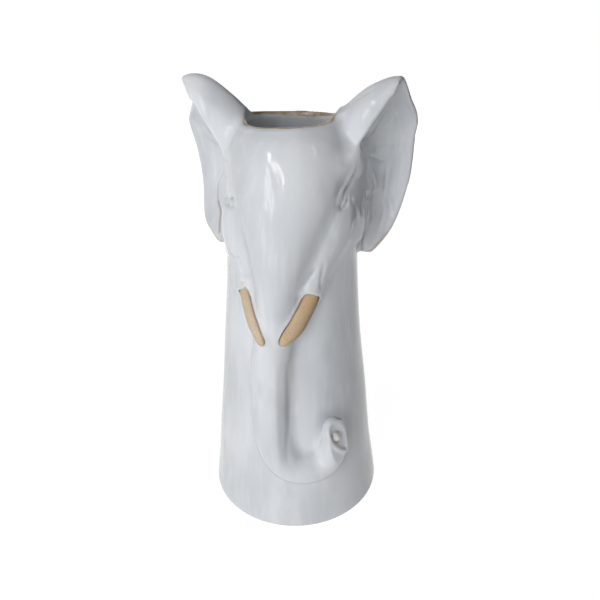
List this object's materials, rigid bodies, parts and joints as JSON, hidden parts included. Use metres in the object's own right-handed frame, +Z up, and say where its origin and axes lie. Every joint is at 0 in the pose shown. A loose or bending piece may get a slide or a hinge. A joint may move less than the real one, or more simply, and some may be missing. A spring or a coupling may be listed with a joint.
{
  "type": "elephant head vase",
  "caption": "Tall tapered stoneware vase shaped as an elephant's head, with cupped ears, a relief trunk curling up at its tip and bare clay tusks.",
  "frame": {"origin": "middle of the foot, on the table that it stands on", "axes": "+Z up the vessel's axis, -Y the way the elephant faces, +X towards the elephant's left ear"},
  "size_m": [0.124, 0.1065, 0.2478],
  "materials": {
    "glazed_stoneware": "pale blue-white gloss glaze, breaking tan at the rim and thin edges",
    "bare_stoneware": "unglazed tan clay, matt and lightly speckled"
  },
  "bodies": {
    "root": {"vessel": "glazed_stoneware", "head": "glazed_stoneware", "trunk": "glazed_stoneware", "trunk_tip": "glazed_stoneware", "left_ear": "glazed_stoneware", "right_ear": "glazed_stoneware", "left_tusk_sheath": "glazed_stoneware", "right_tusk_sheath": "glazed_stoneware", "left_eye": "glazed_stoneware", "right_eye": "glazed_stoneware", "left_tusk": "bare_stoneware", "right_tusk": "bare_stoneware"}
  },
  "joints": []
}
